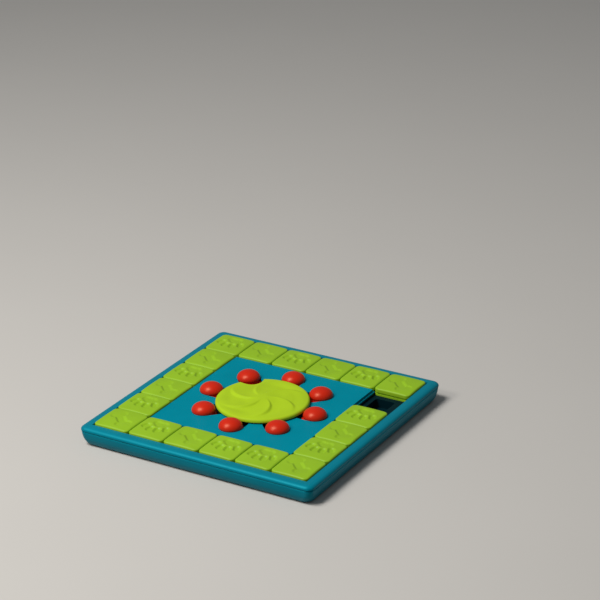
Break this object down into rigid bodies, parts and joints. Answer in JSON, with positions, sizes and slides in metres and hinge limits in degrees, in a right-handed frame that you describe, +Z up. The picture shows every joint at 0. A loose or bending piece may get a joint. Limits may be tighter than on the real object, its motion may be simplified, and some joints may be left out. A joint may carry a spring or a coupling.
{
  "type": "dog puzzle feeder",
  "caption": "Square treat puzzle board: crowned tiles slide round a track with one gap, domed knobs slide in towards a notched swirl wheel, and each covers a treat pocket.",
  "frame": {"origin": "on the table under the middle of the wheel", "axes": "+X right along the front side, +Y towards the back, +Z up out of the tiles"},
  "size_m": [0.417, 0.417, 0.046],
  "materials": {
    "teal_plastic": "satin moulded",
    "tray_plastic": "satin moulded, in the shade",
    "green_tile_plastic": "satin moulded",
    "green_wheel_plastic": "satin moulded",
    "red_plastic": "semi-gloss moulded",
    "grey_rubber": "matte",
    "steel": "zinc plated"
  },
  "bodies": {
    "base": {"lower_shell": "teal_plastic", "rubber_feet": "grey_rubber", "upper_frame": "teal_plastic", "centre_deck": "teal_plastic", "track_tray_front": "tray_plastic", "track_tray_right": "tray_plastic", "track_tray_back": "tray_plastic", "track_tray_left": "tray_plastic", "knob_tray": "tray_plastic", "frame_screws": "steel", "deck_screws": "steel"},
    "wheel_body": {"wheel": "green_wheel_plastic", "wheel_washer": "steel", "wheel_screw": "steel"},
    "knob_1_body": {"knob_1": "red_plastic"},
    "knob_2_body": {"knob_2": "red_plastic"},
    "knob_3_body": {"knob_3": "red_plastic"},
    "knob_4_body": {"knob_4": "red_plastic"},
    "knob_5_body": {"knob_5": "red_plastic"},
    "knob_6_body": {"knob_6": "red_plastic"},
    "knob_7_body": {"knob_7": "red_plastic"},
    "knob_8_body": {"knob_8": "red_plastic"},
    "tile_01_body": {"tile_01": "green_tile_plastic"},
    "tile_02_body": {"tile_02": "green_tile_plastic"},
    "tile_03_body": {"tile_03": "green_tile_plastic"},
    "tile_04_body": {"tile_04": "green_tile_plastic"},
    "tile_05_body": {"tile_05": "green_tile_plastic"},
    "tile_06_body": {"tile_06": "green_tile_plastic"},
    "tile_07_body": {"tile_07": "green_tile_plastic"},
    "tile_08_body": {"tile_08": "green_tile_plastic"},
    "tile_09_body": {"tile_09": "green_tile_plastic"},
    "tile_11_body": {"tile_11": "green_tile_plastic"},
    "tile_12_body": {"tile_12": "green_tile_plastic"},
    "tile_13_body": {"tile_13": "green_tile_plastic"},
    "tile_14_body": {"tile_14": "green_tile_plastic"},
    "tile_15_body": {"tile_15": "green_tile_plastic"},
    "tile_16_body": {"tile_16": "green_tile_plastic"},
    "tile_17_body": {"tile_17": "green_tile_plastic"},
    "tile_18_body": {"tile_18": "green_tile_plastic"},
    "tile_19_body": {"tile_19": "green_tile_plastic"},
    "tile_20_body": {"tile_20": "green_tile_plastic"}
  },
  "joints": [
    {"name": "wheel_turn", "type": "hinge", "parent": "base", "child": "wheel_body", "pos_m": [0, 0, 0.035], "axis": [0, 0, 1], "range_deg": [-360, 360]},
    {"name": "knob_1_slide", "type": "slide", "parent": "base", "child": "knob_1_body", "axis": [-1, 0, 0], "range_m": [0, 0.0004]},
    {"name": "knob_2_slide", "type": "slide", "parent": "base", "child": "knob_2_body", "axis": [-0.7071, -0.7071, 0], "range_m": [0, 0.0004]},
    {"name": "knob_3_slide", "type": "slide", "parent": "base", "child": "knob_3_body", "axis": [0, -1, 0], "range_m": [0, 0.0004]},
    {"name": "knob_4_slide", "type": "slide", "parent": "base", "child": "knob_4_body", "axis": [0.7071, -0.7071, 0], "range_m": [0, 0.02]},
    {"name": "knob_5_slide", "type": "slide", "parent": "base", "child": "knob_5_body", "axis": [1, 0, 0], "range_m": [0, 0.0004]},
    {"name": "knob_6_slide", "type": "slide", "parent": "base", "child": "knob_6_body", "axis": [0.7071, 0.7071, 0], "range_m": [0, 0.0004]},
    {"name": "knob_7_slide", "type": "slide", "parent": "base", "child": "knob_7_body", "axis": [0, 1, 0], "range_m": [0, 0.0004]},
    {"name": "knob_8_slide", "type": "slide", "parent": "base", "child": "knob_8_body", "axis": [-0.7071, 0.7071, 0], "range_m": [0, 0.0004]},
    {"name": "tile_01_slide", "type": "slide", "parent": "base", "child": "tile_01_body", "axis": [1, 0, 0], "range_m": [-0.0003, 0.0003]},
    {"name": "tile_02_slide", "type": "slide", "parent": "base", "child": "tile_02_body", "axis": [1, 0, 0], "range_m": [-0.0003, 0.0003]},
    {"name": "tile_03_slide", "type": "slide", "parent": "base", "child": "tile_03_body", "axis": [1, 0, 0], "range_m": [-0.0003, 0.0003]},
    {"name": "tile_04_slide", "type": "slide", "parent": "base", "child": "tile_04_body", "axis": [1, 0, 0], "range_m": [-0.0003, 0.0003]},
    {"name": "tile_05_slide", "type": "slide", "parent": "base", "child": "tile_05_body", "axis": [1, 0, 0], "range_m": [-0.0003, 0.0003]},
    {"name": "tile_06_slide", "type": "slide", "parent": "base", "child": "tile_06_body", "axis": [1, 0, 0], "range_m": [-0.0003, 0.0003]},
    {"name": "tile_07_slide", "type": "slide", "parent": "base", "child": "tile_07_body", "axis": [0, 1, 0], "range_m": [-0.0003, 0.0003]},
    {"name": "tile_08_slide", "type": "slide", "parent": "base", "child": "tile_08_body", "axis": [0, 1, 0], "range_m": [-0.0003, 0.0003]},
    {"name": "tile_09_slide", "type": "slide", "parent": "base", "child": "tile_09_body", "axis": [0, 1, 0], "range_m": [0, 0.064]},
    {"name": "tile_11_slide", "type": "slide", "parent": "base", "child": "tile_11_body", "axis": [0, 1, 0], "range_m": [-0.064, 0]},
    {"name": "tile_12_slide", "type": "slide", "parent": "base", "child": "tile_12_body", "axis": [1, 0, 0], "range_m": [-0.0003, 0.0003]},
    {"name": "tile_13_slide", "type": "slide", "parent": "base", "child": "tile_13_body", "axis": [1, 0, 0], "range_m": [-0.0003, 0.0003]},
    {"name": "tile_14_slide", "type": "slide", "parent": "base", "child": "tile_14_body", "axis": [1, 0, 0], "range_m": [-0.0003, 0.0003]},
    {"name": "tile_15_slide", "type": "slide", "parent": "base", "child": "tile_15_body", "axis": [1, 0, 0], "range_m": [-0.0003, 0.0003]},
    {"name": "tile_16_slide", "type": "slide", "parent": "base", "child": "tile_16_body", "axis": [1, 0, 0], "range_m": [-0.0003, 0.0003]},
    {"name": "tile_17_slide", "type": "slide", "parent": "base", "child": "tile_17_body", "axis": [0, 1, 0], "range_m": [-0.0003, 0.0003]},
    {"name": "tile_18_slide", "type": "slide", "parent": "base", "child": "tile_18_body", "axis": [0, 1, 0], "range_m": [-0.0003, 0.0003]},
    {"name": "tile_19_slide", "type": "slide", "parent": "base", "child": "tile_19_body", "axis": [0, 1, 0], "range_m": [-0.0003, 0.0003]},
    {"name": "tile_20_slide", "type": "slide", "parent": "base", "child": "tile_20_body", "axis": [0, 1, 0], "range_m": [-0.0003, 0.0003]}
  ]
}
